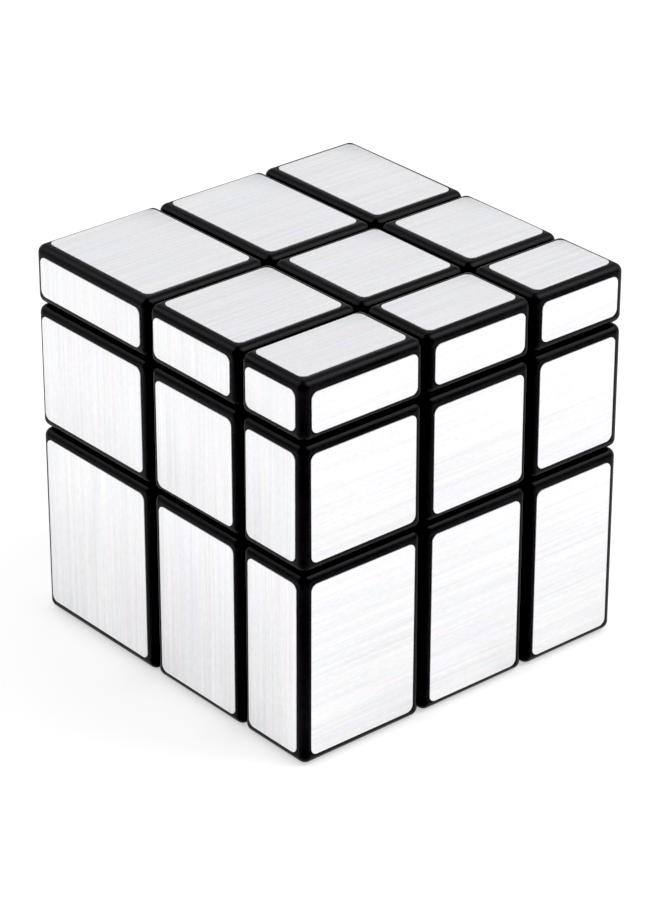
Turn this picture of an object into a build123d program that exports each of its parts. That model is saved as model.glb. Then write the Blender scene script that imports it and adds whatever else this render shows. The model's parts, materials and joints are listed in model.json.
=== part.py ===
from build123d import *
from itertools import product
import os

# Mirror block cube: 26 blocks of unequal height, width and depth that turn in six layers
# about a hidden core. Millimetres. The origin is the centre of the underside, +Z is up,
# -Y is the front and +X is the right. The mechanism is drawn about its own centre, where
# the six turning axes cross, and is then moved to its place.

# Layers, each measured from its cut plane to the outer surface of its foils
up_layer = 9.0
down_layer = 29.0
right_layer = 13.0
left_layer = 25.0
back_layer = 17.0
front_layer = 21.0
middle_layer = 19.0

# Blocks and foils
running_gap = 0.15          # every moving face stands this far back from its dividing surface
edge_radius = 1.25          # rounding of all the block's edges
wall = 1.8                  # wall of the hollow block covers
foil_thickness = 0.15
foil_inset = 1.4            # from the side of the block to the edge of the foil
foil_corner_radius = 1.0

# The dividing surface of a layer steps inwards twice on its way to the turning axis, so that
# corners are caught under edges and edges under centres
cut_plane = middle_layer / 2
middle_step = 7.0           # height of the surface between the two step radii
inner_step = 4.2            # height of the surface inside the inner step radius
outer_step_radius = 16.0
inner_step_radius = 12.6
foot_reach = 13.2           # how far the feet plug into the covers

# Centres, core, screws and springs, as heights along a turning axis
core_ball_radius = 5.5
arm_radius = 3.6
arm_end = 8.9
stalk_start = 9.1
pocket_floor = 10.6
pocket_radius = 2.6
cap_floor = 16.2
screw_start = 3.0
screw_radius = 1.22
screw_bore_radius = 1.25
screw_clearance_radius = 1.45
screw_head_start = 15.0
screw_head_height = 1.0
screw_head_radius = 2.3
drive_slot_length = 2.8
drive_slot_width = 0.6
drive_slot_depth = 0.6
washer_thickness = 0.4
washer_radius = 2.3
washer_hole_radius = 1.4
spring_radius = 1.9
spring_wire_radius = 0.25
spring_turns = 4
spring_play = 0.05          # left free at both ends of a spring

far = 60.0                  # beyond the outside of the cube from anywhere in it

# Distance from the centre of the mechanism to each outer surface, by axis (0 is X) and side
reach = {
    (0, -1): cut_plane + left_layer,
    (0, 1): cut_plane + right_layer,
    (1, -1): cut_plane + front_layer,
    (1, 1): cut_plane + back_layer,
    (2, -1): cut_plane + down_layer,
    (2, 1): cut_plane + up_layer,
}
core_place = Pos(
    (reach[0, -1] - reach[0, 1]) / 2,
    (reach[1, -1] - reach[1, 1]) / 2,
    reach[2, -1],
)

layer_names = {
    (0, -1): "left",
    (0, 1): "right",
    (1, -1): "front",
    (1, 1): "back",
    (2, -1): "down",
    (2, 1): "up",
}
kind_names = {0: "corner", 1: "edge", 2: "centre"}

# Turns a piece drawn along +Z to point along each of the six arms
arm_turns = {
    "up": Rot(0, 0, 0),
    "down": Rot(180, 0, 0),
    "right": Rot(0, 90, 0),
    "left": Rot(0, -90, 0),
    "back": Rot(-90, 0, 0),
    "front": Rot(90, 0, 0),
}


def box_between(low, high):
    """A box from its lowest to its highest corner."""
    size = [b - a for a, b in zip(low, high)]
    middle = [(a + b) / 2 for a, b in zip(low, high)]
    return Pos(*middle) * Box(*size)


def disc(radius, start, end):
    """A cylinder on the Z axis between two heights."""
    return Pos(0, 0, start) * Cylinder(
        radius, end - start, align=(Align.CENTER, Align.CENTER, Align.MIN)
    )


def layer_space(axis, side, offset):
    """All that turns with one outer layer. A positive offset draws its surface back."""
    slab = Pos(0, 0, cut_plane + offset) * Box(
        2 * far, 2 * far, far, align=(Align.CENTER, Align.CENTER, Align.MIN)
    )
    space = (
        slab
        + disc(outer_step_radius - offset, middle_step + offset, far)
        + disc(inner_step_radius - offset, inner_step + offset, far)
    )
    return arm_turns[layer_names[axis, side]] * space


own_space = {key: layer_space(*key, running_gap) for key in layer_names}
others_space = {key: layer_space(*key, -running_gap) for key in layer_names}


def ordered(side, near, away):
    """Two distances from the core along one side of an axis, lower coordinate first."""
    return (near, away) if side > 0 else (-away, -near)


def block_span(axis, side):
    """Where a block lies along one axis, foils not counted."""
    if side == 0:
        return -(cut_plane - running_gap), cut_plane - running_gap
    return ordered(side, cut_plane + running_gap, reach[axis, side] - foil_thickness)


def foot_span(side, kind):
    """The room that a foot may fill along one axis, before the dividing surfaces cut it."""
    if kind == "centre":
        half_width = middle_step - running_gap
        return ordered(side, stalk_start, cap_floor) if side else (-half_width, half_width)
    if side == 0:
        return block_span(0, 0)
    nearest = middle_step if kind == "corner" else inner_step
    return ordered(side, nearest + running_gap, foot_reach)


def corners_of(spans):
    return [span[0] for span in spans], [span[1] for span in spans]


def make_foot(sides, kind):
    """The inner part of a block, which the neighbouring blocks hold."""
    foot = box_between(*corners_of([foot_span(side, kind) for side in sides]))
    for axis, side in enumerate(sides):
        if side:
            foot = foot & own_space[axis, side]
        else:
            foot = foot - others_space[axis, -1] - others_space[axis, 1]
    return foot


def make_block(sides):
    """The solid block with its rounded edges."""
    block = box_between(*corners_of([block_span(axis, side) for axis, side in enumerate(sides)]))
    return fillet(block.edges(), edge_radius)


def make_cover(sides, kind):
    """The hollow cover of a corner or edge, open where the foot plugs in."""
    spans = [block_span(axis, side) for axis, side in enumerate(sides)]
    cavity = box_between(*corners_of([(low + wall, high - wall) for low, high in spans]))
    socket_spans = [ordered(side, 0, foot_reach) if side else (-far, far) for side in sides]
    socket = box_between(*corners_of(socket_spans))
    return make_block(sides) - cavity - socket


def make_cap(sides, name):
    """The cap of a centre: a hollow box on a floor with a screwdriver hole, or a thin lid."""
    axis = [index for index, side in enumerate(sides) if side][0]
    height = reach[axis, sides[axis]] - foil_thickness
    above_floor = arm_turns[name] * disc(far, cap_floor, far)
    cap = make_block(sides) & above_floor
    if height - wall > cap_floor + 2 * wall:
        half_width = cut_plane - running_gap - wall
        cavity = box_between(
            (-half_width, -half_width, cap_floor + wall),
            (half_width, half_width, height - wall),
        )
        cap = cap - arm_turns[name] * (cavity + disc(pocket_radius, cap_floor, cap_floor + 2 * wall))
    return cap


def make_base(sides, name):
    """The stalk and plate of a centre, with the pocket for its spring."""
    hole = disc(screw_clearance_radius, 0, pocket_floor)
    pocket = disc(pocket_radius, pocket_floor, cap_floor)
    return make_foot(sides, "centre") - arm_turns[name] * (hole + pocket)


def make_foil(sides, axis):
    """The thin metallic plate on one outer face of a block."""
    flat_spans = [block_span(index, side) for index, side in enumerate(sides)]
    spans = [(low + foil_inset, high - foil_inset) for low, high in flat_spans]
    surface = reach[axis, sides[axis]]
    spans[axis] = ordered(sides[axis], surface - foil_thickness, surface)
    plate = box_between(*corners_of(spans))
    normal = (Axis.X, Axis.Y, Axis.Z)[axis]
    return fillet(plate.edges().filter_by(normal), foil_corner_radius)


def make_core():
    """The ball with six arms, each bored for its screw."""
    core = Sphere(core_ball_radius)
    for turn in arm_turns.values():
        core = core + turn * disc(arm_radius, 0, arm_end)
    for turn in arm_turns.values():
        core = core - turn * disc(screw_bore_radius, screw_start, arm_end)
    return core


def make_screw():
    """A pan-head screw with a cross slot."""
    head_top = screw_head_start + screw_head_height
    shank = disc(screw_radius, screw_start, screw_head_start)
    head = disc(screw_head_radius, screw_head_start, head_top)
    head = fillet(head.edges().group_by(Axis.Z)[-1], screw_head_height / 2)
    screw = shank + head
    slot = Pos(0, 0, head_top - drive_slot_depth / 2) * Box(
        drive_slot_length, drive_slot_width, drive_slot_depth
    )
    return screw - slot - Rot(0, 0, 90) * slot


def make_washer():
    start = screw_head_start - washer_thickness
    return disc(washer_radius, start, screw_head_start) - disc(washer_hole_radius, start, screw_head_start)


def make_spring():
    """A compression spring between the floor of the pocket and the washer."""
    low = pocket_floor + spring_play + spring_wire_radius
    high = screw_head_start - washer_thickness - spring_play - spring_wire_radius
    path = Helix(pitch=(high - low) / spring_turns, height=high - low, radius=spring_radius)
    section = Plane(origin=path @ 0, z_dir=path % 0) * Circle(spring_wire_radius)
    return Pos(0, 0, low) * sweep(section, path=path, is_frenet=True)


def save(name, shapes):
    """Write one node, each of its pieces a separate solid, in the cube's own frame."""
    solids = []
    for shape in shapes:
        solids += (core_place * shape).solids()
    export_step(Compound(children=solids), f"parts/{name}.step")


os.makedirs("parts", exist_ok=True)

for sides in product((-1, 0, 1), repeat=3):
    if not any(sides):
        continue
    kind = kind_names[sides.count(0)]
    used_axes = [axis for axis in (2, 1, 0) if sides[axis]]
    words = [layer_names[axis, sides[axis]] for axis in used_axes]
    name = "_".join([kind] + words)
    if kind == "centre":
        pieces = [make_cap(sides, words[0]), make_base(sides, words[0])]
    else:
        pieces = [make_cover(sides, kind), make_foot(sides, kind)]
    save(name, pieces)
    save(f"{name}_foils", [make_foil(sides, axis) for axis in used_axes])

save("core_spider", [make_core()])
save("centre_screws", [turn * make_screw() for turn in arm_turns.values()])
save("centre_washers", [turn * make_washer() for turn in arm_turns.values()])
save("centre_springs", [turn * make_spring() for turn in arm_turns.values()])
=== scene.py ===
import bpy
import json
import math
import random
from mathutils import Matrix, Vector

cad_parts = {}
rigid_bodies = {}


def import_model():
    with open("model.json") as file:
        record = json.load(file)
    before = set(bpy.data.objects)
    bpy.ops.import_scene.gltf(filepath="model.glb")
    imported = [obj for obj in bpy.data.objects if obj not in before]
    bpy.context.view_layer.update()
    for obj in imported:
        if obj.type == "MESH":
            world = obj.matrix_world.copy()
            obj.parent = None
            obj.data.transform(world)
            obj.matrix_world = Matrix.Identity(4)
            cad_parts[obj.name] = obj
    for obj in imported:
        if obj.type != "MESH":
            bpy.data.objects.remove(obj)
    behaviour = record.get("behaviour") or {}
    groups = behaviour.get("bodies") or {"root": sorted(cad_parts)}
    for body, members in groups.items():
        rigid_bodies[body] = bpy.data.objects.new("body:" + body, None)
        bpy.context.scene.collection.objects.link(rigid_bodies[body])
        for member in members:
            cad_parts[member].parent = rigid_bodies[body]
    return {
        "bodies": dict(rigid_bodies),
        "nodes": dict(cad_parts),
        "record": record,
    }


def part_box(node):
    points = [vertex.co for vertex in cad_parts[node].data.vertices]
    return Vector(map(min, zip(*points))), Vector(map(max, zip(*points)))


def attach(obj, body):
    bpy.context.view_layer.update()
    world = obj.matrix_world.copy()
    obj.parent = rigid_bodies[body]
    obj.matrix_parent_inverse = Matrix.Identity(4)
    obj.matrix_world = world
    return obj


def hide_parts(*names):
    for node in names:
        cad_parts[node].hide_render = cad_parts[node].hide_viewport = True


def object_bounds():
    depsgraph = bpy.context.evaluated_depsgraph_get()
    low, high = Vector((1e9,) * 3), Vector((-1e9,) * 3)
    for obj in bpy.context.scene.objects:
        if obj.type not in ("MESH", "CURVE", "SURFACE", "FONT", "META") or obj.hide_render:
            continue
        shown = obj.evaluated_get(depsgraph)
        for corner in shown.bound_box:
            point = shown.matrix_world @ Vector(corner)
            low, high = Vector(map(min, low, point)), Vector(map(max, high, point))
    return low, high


# Mirror block cube: black moulded blocks from the frame, with brushed silver foils modelled here
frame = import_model()
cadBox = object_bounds()
print("frame loaded,", len(frame["nodes"]), "nodes")

scene = bpy.context.scene


# a socket that can stand in sums, and a material that adds its own nodes
class Value:
    def __init__(self, finish, socket):
        self.finish, self.socket = finish, socket

    def maths(self, operation, first, second):
        return self.finish.node("ShaderNodeMath", {"operation": operation}, {0: first, 1: second})

    def __add__(self, other):
        return self.maths("ADD", self, other)

    def __mul__(self, other):
        return self.maths("MULTIPLY", self, other)

    __radd__ = __add__
    __rmul__ = __mul__


class Finish:
    def __init__(self, name):
        self.material = bpy.data.materials.new(name)
        self.material.use_nodes = True
        self.tree = self.material.node_tree
        self.shader = self.tree.nodes["Principled BSDF"]

    def node(self, kind, settings, inputs, output=0):
        made = self.tree.nodes.new(kind)
        for key, setting in settings.items():
            if key == "stops":
                self.setStops(made.color_ramp, setting)
            else:
                setattr(made, key, setting)
        for key, given in inputs.items():
            self.feed(made.inputs[key], given)
        return Value(self, made.outputs[output])

    def setStops(self, ramp, stops):
        while len(ramp.elements) < len(stops):
            ramp.elements.new(0.5)
        for element, (place, colour) in zip(ramp.elements, stops):
            element.position, element.color = place, colour

    def feed(self, socket, given):
        if isinstance(given, Value):
            self.tree.links.new(given.socket, socket)
        else:
            socket.default_value = given

    def surface(self, **inputs):
        for key, given in inputs.items():
            self.feed(self.shader.inputs[key.replace("_", " ")], given)

    def noise(self, places, stretch, detail=2.0, roughness=0.5):
        spread = self.node("ShaderNodeMapping", {}, {"Vector": places, "Scale": stretch})
        return self.node(
            "ShaderNodeTexNoise", {},
            {"Vector": spread, "Scale": 1.0, "Detail": detail, "Roughness": roughness},
        )

    # black up to low, white from high
    def ramp(self, amount, low, high):
        stops = [(low, (0, 0, 0, 1)), (high, (1, 1, 1, 1))]
        return self.node("ShaderNodeValToRGB", {"stops": stops}, {"Fac": amount})

    def blend(self, amount, first, second):
        return self.node(
            "ShaderNodeMix", {"data_type": "RGBA"}, {0: amount, 6: first, 7: second}, output=2,
        )

    def bump(self, height, strength, distance, under=None):
        inputs = {"Height": height, "Strength": strength, "Distance": distance}
        if under:
            inputs["Normal"] = under
        return self.node("ShaderNodeBump", {}, inputs)


foilLook = {
    "light": (0.964, 0.951, 0.967, 1),
    "dark": (0.738, 0.728, 0.752, 1),
    "tints": [                      # the faint colours that brushing scatters, with their places
        (0.36, (0.89, 0.84, 0.865, 1)),
        (0.46, (0.865, 0.86, 0.82, 1)),
        (0.54, (0.825, 0.868, 0.85, 1)),
        (0.64, (0.84, 0.85, 0.9, 1)),
    ],
    "tintShare": 0.4,
    "hairline": (4200, 1300, 1),    # waves per metre across and along the brushing
    "streak": (2300, 40, 1),
    "band": (600, 10, 1),
    "tint": (520, 60, 1),
    "ripple": (70, 45, 1),
    "shares": (0.4, 0.45, 0.15),    # of hairline, streak and band in the tone
    "contrast": (0.36, 0.64),       # the tones that come out quite dark and quite light
    "smooth": 0.26,                 # roughness of its dark and light ends
    "rough": 0.42,
    "hairDepth": 0.0000012,         # metres
    "rippleDepth": 0.000035,
}


def makeFoilFinish():
    foil = Finish("brushedFoil")
    grain = foil.node("ShaderNodeAttribute", {"attribute_name": "grain"}, {}, output=1)
    hairline = foil.noise(grain, foilLook["hairline"], detail=3.0, roughness=0.6)
    streak = foil.noise(grain, foilLook["streak"], detail=2.0)
    band = foil.noise(grain, foilLook["band"], detail=1.0)
    ripple = foil.noise(grain, foilLook["ripple"], detail=1.0)
    shares = foilLook["shares"]
    tone = hairline * shares[0] + streak * shares[1] + band * shares[2]
    silver = foil.blend(foil.ramp(tone, *foilLook["contrast"]), foilLook["dark"], foilLook["light"])
    scatter = foil.node(
        "ShaderNodeValToRGB", {"stops": foilLook["tints"]},
        {"Fac": foil.noise(grain, foilLook["tint"], detail=2.0)},
    )
    foil.surface(
        Base_Color=foil.blend(foilLook["tintShare"], silver, scatter),
        Metallic=1.0,
        Roughness=foilLook["smooth"] + tone * (foilLook["rough"] - foilLook["smooth"]),
    )
    soft = foil.bump(ripple, 1.0, foilLook["rippleDepth"])
    foil.surface(Normal=foil.bump(hairline + streak, 0.5, foilLook["hairDepth"], under=soft))
    return foil.material


plasticLook = {
    "colour": (0.0027, 0.0023, 0.0029, 1),
    "worn": (0.0078, 0.0066, 0.0076, 1),
    "smooth": 0.35,
    "rough": 0.46,
    "specular": 0.14,
    "grainSize": 1800,              # waves per metre of the moulded texture
    "patchSize": 160,
    "grainDepth": 0.000006,
    "wear": (0.42, 0.72),           # where the patches begin and are fully worn
}


def makePlasticFinish(name, look):
    plastic = Finish(name)
    places = plastic.node("ShaderNodeTexCoord", {}, {}, output=3)
    grain = plastic.noise(places, (look["grainSize"],) * 3, detail=3.0)
    patch = plastic.noise(places, (look["patchSize"],) * 3, detail=4.0, roughness=0.6)
    wear = plastic.ramp(patch * 0.7 + grain * 0.3, *look["wear"])
    plastic.surface(
        Base_Color=plastic.blend(wear, look["colour"], look["worn"]),
        Roughness=look["smooth"] + wear * (look["rough"] - look["smooth"]),
        Specular_IOR_Level=look["specular"],
        Normal=plastic.bump(grain, 0.6, look["grainDepth"]),
    )
    return plastic.material


coreLook = {
    "colour": (0.72, 0.71, 0.67, 1),
    "worn": (0.80, 0.79, 0.75, 1),
    "smooth": 0.38,
    "rough": 0.5,
    "specular": 0.5,
    "grainSize": 1500,
    "patchSize": 220,
    "grainDepth": 0.00001,
    "wear": (0.42, 0.72),
}

steelLook = {
    "light": (0.66, 0.67, 0.69, 1),
    "dark": (0.42, 0.43, 0.45, 1),
    "turning": 2600,
    "cloud": 500,
    "smooth": 0.18,
    "rough": 0.4,
    "depth": 0.000005,
}


def shaded(colour, shade):
    return (*(channel * shade for channel in colour[:3]), 1)


def makeSteelFinish(name, shade):
    steel = Finish(name)
    places = steel.node("ShaderNodeTexCoord", {}, {}, output=3)
    turning = steel.noise(places, (steelLook["turning"],) * 3, detail=3.0)
    cloud = steel.noise(places, (steelLook["cloud"],) * 3, detail=2.0)
    tone = turning * 0.4 + cloud * 0.6
    dark, light = shaded(steelLook["dark"], shade), shaded(steelLook["light"], shade)
    steel.surface(
        Base_Color=steel.blend(tone, dark, light),
        Metallic=1.0,
        Roughness=steelLook["smooth"] + tone * (steelLook["rough"] - steelLook["smooth"]),
        Normal=steel.bump(turning, 0.5, steelLook["depth"]),
    )
    return steel.material


slotFinishes = {
    "black_plastic": makePlasticFinish("blackPlastic", plasticLook),
    "silver_foil": makeFoilFinish(),
    "core_plastic": makePlasticFinish("corePlastic", coreLook),
    "zinc_steel": makeSteelFinish("zincSteel", 1.0),
    "spring_steel": makeSteelFinish("springSteel", 0.75),
}
for part in frame["record"]["subparts"]:
    materials = frame["nodes"][part["node"]].data.materials
    materials.clear()
    materials.append(slotFinishes[part["material_slot"]])
print("finishes made,", len(slotFinishes))


def deselectAll():
    bpy.ops.object.select_all(action="DESELECT")


def selectEdges(piece, wanted):
    bpy.ops.mesh.select_mode(type="EDGE")
    bpy.ops.mesh.select_all(action="DESELECT")
    bpy.ops.object.mode_set(mode="OBJECT")
    for edge in piece.data.edges:
        edge.select = wanted(edge)
    bpy.ops.object.mode_set(mode="EDIT")


# foils: one plate on each outer face, joined into one piece for each block
foilPlate = {
    "thickness": 0.00015,
    "inset": 0.0014,                # from the side of the block to the plate
    "cornerRadius": 0.001,
    "cornerSegments": 8,
    "rim": 0.00008,                 # softening of the cut edge
    "rimSegments": 2,
    "sheetShift": 0.0371,           # moves the brushing along from plate to plate
    "slip": 0.00014,                # how far the plates, stuck on by hand, may be off their places
    "skew": 0.25,                   # and by how many degrees
    "sharpest": 40,                 # edges turned by more degrees than this stay crisp
}
handWork = random.Random(26)
# words in a block's name, and the axis and side that each stands for
faces = {
    "left": (0, -1),
    "right": (0, 1),
    "front": (1, -1),
    "back": (1, 1),
    "down": (2, -1),
    "up": (2, 1),
}
# brushing runs along the second axis of each: (across, along, normal)
grainAxes = {0: (2, 1, 0), 1: (0, 2, 1), 2: (0, 1, 2)}


def isAbove(plate, edge, height):
    return all(plate.data.vertices[index].co.z > height for index in edge.vertices)


def addPlate(width, length, serial):
    deselectAll()
    bpy.ops.mesh.primitive_plane_add(size=1)
    plate = bpy.context.active_object
    thickness = foilPlate["thickness"]
    bpy.ops.object.mode_set(mode="EDIT")
    bpy.ops.mesh.select_all(action="SELECT")
    bpy.ops.transform.resize(value=(width, length, 1))
    bpy.ops.mesh.bevel(
        offset=foilPlate["cornerRadius"], segments=foilPlate["cornerSegments"], affect="VERTICES",
    )
    bpy.ops.mesh.select_all(action="SELECT")
    bpy.ops.mesh.extrude_region_move(TRANSFORM_OT_translate={"value": (0, 0, thickness)})
    selectEdges(plate, lambda edge: isAbove(plate, edge, thickness / 2))
    bpy.ops.mesh.bevel(offset=foilPlate["rim"], segments=foilPlate["rimSegments"], affect="EDGES")
    bpy.ops.mesh.select_all(action="SELECT")
    bpy.ops.mesh.normals_make_consistent(inside=False)
    bpy.ops.object.mode_set(mode="OBJECT")
    bpy.ops.object.shade_smooth_by_angle(angle=math.radians(foilPlate["sharpest"]))
    shift = foilPlate["sheetShift"] * serial
    grain = plate.data.attributes.new("grain", "FLOAT_VECTOR", "POINT")
    for point in plate.data.vertices:
        grain.data[point.index].vector = (point.co.x + shift, point.co.y - shift, shift)
    return plate


# turns a flat plate to its face and sticks it on, a little off its place
def placePlate(plate, axis, side, low, high):
    turn = Matrix.Identity(4)
    for column, target in enumerate(grainAxes[axis]):
        for row in range(3):
            turn[row][column] = 1.0 if row == target else 0.0
    for row in range(3):
        turn[row][2] *= side
    if turn.determinant() < 0:
        for row in range(3):
            turn[row][0] *= -1
    middle = (low + high) / 2
    middle[axis] = (low if side > 0 else high)[axis]
    slip = [handWork.uniform(-1, 1) * foilPlate["slip"] for way in range(2)]
    skew = math.radians(handWork.uniform(-1, 1) * foilPlate["skew"])
    offPlace = Matrix.Translation((slip[0], slip[1], 0)) @ Matrix.Rotation(skew, 4, "Z")
    plate.matrix_world = Matrix.Translation(middle) @ turn @ offPlace
    deselectAll()
    plate.select_set(True)
    bpy.context.view_layer.objects.active = plate
    bpy.ops.object.transform_apply(location=True, rotation=True, scale=True)


# the lowest and highest corner of one foil of a block
def plateSpan(node, axis, sides):
    low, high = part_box(node)
    keepBack = foilPlate["thickness"] + foilPlate["inset"]
    for other in range(3):
        if other == axis:
            continue
        if sides.get(other, 0) > 0:
            high[other] -= keepBack
        elif sides.get(other, 0) < 0:
            low[other] += keepBack
    if sides[axis] > 0:
        low[axis] = high[axis] - foilPlate["thickness"]
    else:
        high[axis] = low[axis] + foilPlate["thickness"]
    return low, high


def makeFoils(block, words, firstSerial):
    sides = {axis: side for word, (axis, side) in faces.items() if word in words}
    plates = []
    for serial, (axis, side) in enumerate(sides.items(), firstSerial):
        low, high = plateSpan(block + "_foils", axis, sides)
        across, along = grainAxes[axis][:2]
        plate = addPlate(high[across] - low[across], high[along] - low[along], serial)
        placePlate(plate, axis, side, low, high)
        plates.append(plate)
    deselectAll()
    for plate in plates:
        plate.select_set(True)
    bpy.context.view_layer.objects.active = plates[0]
    if len(plates) > 1:
        bpy.ops.object.join()
    foils = plates[0]
    foils.name = "brushed_foils_" + "_".join(words)
    foils.data.materials.clear()
    foils.data.materials.append(slotFinishes["silver_foil"])
    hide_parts(block + "_foils")
    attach(foils, block)
    return len(plates)


plateCount = 0
for block in sorted(frame["bodies"]):
    if block != "core":
        plateCount += makeFoils(block, block.split("_")[1:], plateCount + 1)
print("foils made,", plateCount, "plates")


floorLook = {
    "size": 6.0,
    "colour": (0.52, 0.52, 0.522, 1),
    "glow": 0.47,                   # lit from below, so that the shadow stays faint
    "roughness": 0.9,
    "specular": 0.1,
}


def makeFloor():
    deselectAll()
    bpy.ops.mesh.primitive_plane_add(size=floorLook["size"])
    floor = bpy.context.active_object
    floor.name = "floor"
    paper = Finish("floorPaper")
    paper.surface(
        Base_Color=floorLook["colour"], Roughness=floorLook["roughness"],
        Specular_IOR_Level=floorLook["specular"],
        Emission_Color=(1, 1, 1, 1), Emission_Strength=floorLook["glow"],
    )
    floor.data.materials.append(paper.material)


studio = {
    "surround": (0.975, 0.98, 1.0, 1),
    "surroundStrength": 0.9,
    "lamps": [                      # name, azimuth, elevation, distance, size, watts
        ("leftSoftbox", -55, 38, 0.9, 0.5, 1.1),
        ("rightSoftbox", 141, 44, 0.9, 0.55, 2.4),
    ],
    "wash": {                       # a soft spot on the floor behind the right side
        "azimuth": 130, "elevation": 70, "distance": 0.9, "reach": 0.22,
        "cone": 60, "size": 0.25, "watts": 6.5,
    },
    "blackLevel": 0.0165,           # what the exposure leaves quite black
    "whiteLevel": 0.955,            # and quite white
}


def direction(azimuth, elevation):
    a, e = math.radians(azimuth), math.radians(elevation)
    return Vector((math.sin(a) * math.cos(e), -math.cos(a) * math.cos(e), math.sin(e)))


# a lamp that looks at the target from a direction, at a distance
def addLamp(kind, name, target, azimuth, elevation, distance, watts):
    towards = direction(azimuth, elevation)
    deselectAll()
    bpy.ops.object.light_add(
        type=kind, location=target + towards * distance,
        rotation=towards.to_track_quat("Z", "Y").to_euler(),
    )
    lamp = bpy.context.active_object
    lamp.name = name
    lamp.data.energy = watts
    return lamp.data


def makeStudio(middle):
    world = bpy.data.worlds.new("studio")
    scene.world = world
    world.use_nodes = True
    background = world.node_tree.nodes["Background"]
    background.inputs["Color"].default_value = studio["surround"]
    background.inputs["Strength"].default_value = studio["surroundStrength"]
    for name, azimuth, elevation, distance, size, watts in studio["lamps"]:
        softbox = addLamp("AREA", name, middle, azimuth, elevation, distance, watts)
        softbox.shape = "DISK"
        softbox.size = size
    wash = studio["wash"]
    target = direction(wash["azimuth"], 0) * wash["reach"]
    spot = addLamp(
        "SPOT", "floorWash", target,
        wash["azimuth"], wash["elevation"], wash["distance"], wash["watts"],
    )
    spot.shadow_soft_size = wash["size"]
    spot.spot_size = math.radians(wash["cone"])
    spot.spot_blend = 1.0


def setExposure():
    scene.view_settings.view_transform = "Standard"
    scene.view_settings.use_curve_mapping = True
    curves = scene.view_settings.curve_mapping
    curves.black_level = (studio["blackLevel"],) * 3
    curves.white_level = (studio["whiteLevel"],) * 3
    curves.update()


view = {
    "azimuth": 49.59,
    "elevation": 27.57,
    "roll": 0.03,
    "distance": 0.5067,
    "lens": 146.15,                 # mm, as is the sensor
    "sensor": 36,
    "nearest": 0.01,
    "farthest": 20,
    "aimRight": 0.00024,            # the camera points a little right of and below the middle
    "aimUp": -0.00147,
}


def makeCamera(middle):
    back = direction(view["azimuth"], view["elevation"])
    turn = back.to_track_quat("Z", "Y").to_matrix()
    aim = middle + turn.col[0] * view["aimRight"] + turn.col[1] * view["aimUp"]
    turn = turn @ Matrix.Rotation(math.radians(view["roll"]), 3, "Z")
    deselectAll()
    bpy.ops.object.camera_add(location=aim + back * view["distance"], rotation=turn.to_euler())
    camera = bpy.context.active_object
    camera.data.lens = view["lens"]
    camera.data.sensor_width = view["sensor"]
    camera.data.clip_start = view["nearest"]
    camera.data.clip_end = view["farthest"]
    scene.camera = camera


low, high = (Vector(corner) for corner in cadBox)
middle = (low + high) / 2
makeFloor()
makeStudio(middle)
makeCamera(middle)
setExposure()
print("floor, light and camera placed")
